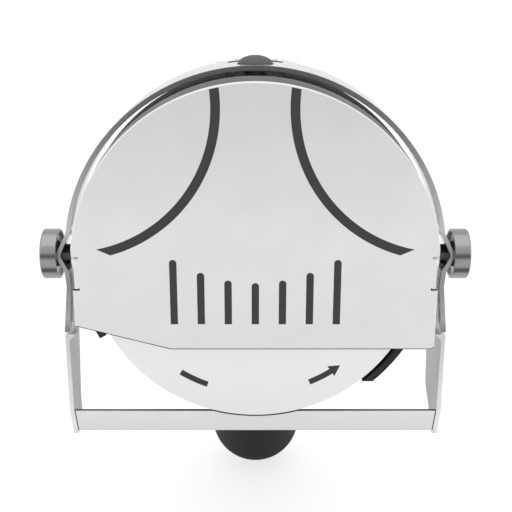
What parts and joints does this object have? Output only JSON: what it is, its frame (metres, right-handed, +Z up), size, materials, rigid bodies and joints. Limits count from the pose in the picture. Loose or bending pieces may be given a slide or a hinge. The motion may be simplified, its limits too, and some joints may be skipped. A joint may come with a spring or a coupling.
{
  "type": "hand-held electric food slicer",
  "caption": "Hand-held electric slicer with a round blade behind a steel front plate, a bright hood with clamp knobs, a tilting gauge bar and a sloping black motor handle.",
  "frame": {"origin": "on the blade axis, in the front face of the front plate", "axes": "X to the right seen from the front plate, Y back towards the handle, Z up"},
  "size_m": [0.1308, 0.1325, 0.189],
  "materials": {
    "plate_steel": "satin",
    "stripe_enamel": "matte",
    "hood_steel": "polished",
    "gauge_steel": "satin",
    "blade_steel": "satin",
    "knob_steel": "turned",
    "screw_steel": "satin",
    "machined_steel": "machined",
    "blackened_steel": "satin",
    "shroud_plastic": "matte",
    "housing_paint": "satin",
    "handle_plastic": "satin",
    "black_rubber": "matte",
    "gear_brass": "satin",
    "armature_copper": "varnished",
    "motor_iron": "matte",
    "inner_plastic": "matte",
    "lead_plastic": "gloss",
    "switch_plastic": "satin",
    "button_plastic": "satin",
    "stone_grit": "gritty"
  },
  "bodies": {
    "housing": {"front_plate": "plate_steel", "stripe_inlays": "stripe_enamel", "plate_standoffs": "screw_steel", "blade_shroud": "shroud_plastic", "blade_hood": "hood_steel", "hood_bracket": "hood_steel", "bracket_screws": "screw_steel", "back_dish": "housing_paint", "bearing_tube": "machined_steel", "gear_housing": "housing_paint", "gear_cover": "housing_paint", "cover_screws": "screw_steel", "shroud_screws": "screw_steel", "spindle_bearings": "machined_steel", "shaft_seal": "black_rubber", "pivot_studs": "blackened_steel", "stud_spacers": "blackened_steel", "knob_washers": "black_rubber", "motor_can": "machined_steel", "motor_magnets": "motor_iron", "motor_end_bell": "inner_plastic", "motor_bearings": "machined_steel", "carbon_brushes": "motor_iron", "motor_leads": "lead_plastic", "handle_shell_left": "handle_plastic", "handle_shell_right": "handle_plastic", "handle_collar": "black_rubber", "handle_end_cap": "handle_plastic", "handle_screws": "screw_steel", "cord_gland": "black_rubber", "switch_body": "inner_plastic", "sharpener_guide": "inner_plastic", "sharpener_spring": "machined_steel"},
    "blade_train": {"blade": "blade_steel", "blade_screw": "screw_steel", "spindle": "machined_steel", "bevel_gear": "gear_brass", "gear_nut": "screw_steel"},
    "motor_train": {"bevel_pinion": "machined_steel", "motor_shaft": "machined_steel", "armature": "armature_copper", "commutator": "gear_brass"},
    "gauge": {"gauge_leg_left": "gauge_steel", "gauge_leg_right": "gauge_steel", "gauge_bar": "gauge_steel"},
    "sharpener": {"sharpener_button": "button_plastic", "stone_arm": "machined_steel", "sharpening_stone": "stone_grit"},
    "left_knob": {"knob_left": "knob_steel"},
    "right_knob": {"knob_right": "knob_steel"},
    "switch": {"switch_button": "switch_plastic"}
  },
  "joints": [
    {"name": "blade_spin", "type": "hinge", "parent": "housing", "child": "blade_train", "pos_m": [0, 0, 0], "axis": [0, -1, 0], "continuous": true},
    {"name": "motor_spin", "type": "hinge", "parent": "housing", "child": "motor_train", "pos_m": [0, 0.026, 0], "axis": [0, 0.6293, -0.7771], "continuous": true},
    {"name": "gauge_tilt", "type": "hinge", "parent": "housing", "child": "gauge", "pos_m": [0, 0.0153, 0], "axis": [1, 0, 0], "range_deg": [0, 7]},
    {"name": "left_knob_turn", "type": "hinge", "parent": "housing", "child": "left_knob", "pos_m": [0, 0.0153, 0], "axis": [-1, 0, 0], "range_deg": [0, 270]},
    {"name": "right_knob_turn", "type": "hinge", "parent": "housing", "child": "right_knob", "pos_m": [0, 0.0153, 0], "axis": [1, 0, 0], "range_deg": [0, 270]},
    {"name": "sharpener_press", "type": "slide", "parent": "housing", "child": "sharpener", "axis": [0, 0, -1], "range_m": [0, 0.0025], "stiffness_N_per_m": 400, "springref_m": -0.003, "deforming": ["sharpener_spring"]},
    {"name": "switch_slide", "type": "slide", "parent": "housing", "child": "switch", "axis": [0, 0.6293, -0.7771], "range_m": [0, 0.004]}
  ],
  "couplings": [
    {"joint": "motor_spin", "follows": "blade_spin", "ratio": 2}
  ]
}
